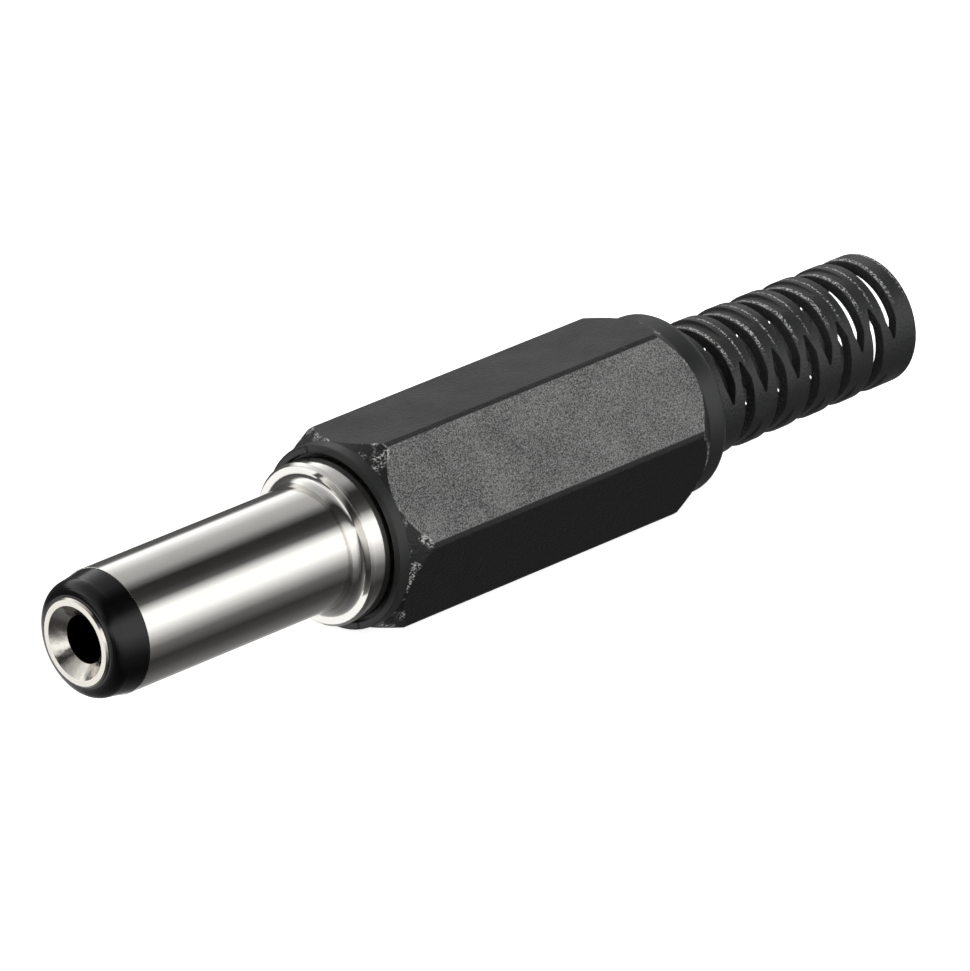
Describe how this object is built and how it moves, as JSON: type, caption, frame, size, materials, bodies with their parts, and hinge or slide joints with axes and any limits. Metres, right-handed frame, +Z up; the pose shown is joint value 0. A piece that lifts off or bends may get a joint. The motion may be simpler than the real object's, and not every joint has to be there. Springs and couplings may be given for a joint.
{
  "type": "dc barrel plug",
  "caption": "Solder-type dc barrel plug: plated barrel with a centre contact and a collar, in a screw-on hexagonal moulded handle with a slotted strain-relief boot.",
  "frame": {"origin": "under the middle of the plug's length, on the surface that the handle's lower flat rests on", "axes": "+X along the plug from the tip to the cable end, +Z up through the handle's upper flat, +Y completes the frame"},
  "size_m": [0.047, 0.0092, 0.0082],
  "materials": {
    "handle_plastic": "fine spark-eroded grain",
    "nickel_plate": "bright nickel plating on turned brass",
    "insulator_plastic": "glossy moulded plastic",
    "contact_plate": "bright nickel plating on drawn brass",
    "washer_board": "punched fibre board",
    "tinned_brass": "tinned, stamped"
  },
  "bodies": {
    "core": {"outer_sleeve": "nickel_plate", "insulator": "insulator_plastic", "inner_contact": "contact_plate", "insulating_washer": "washer_board", "centre_lug": "tinned_brass", "ground_lug": "tinned_brass"},
    "handle_body": {"handle": "handle_plastic"}
  },
  "joints": [
    {"name": "handle_draw_off", "type": "slide", "parent": "core", "child": "handle_body", "axis": [1, 0, 0], "range_m": [0, 0.0185]}
  ]
}
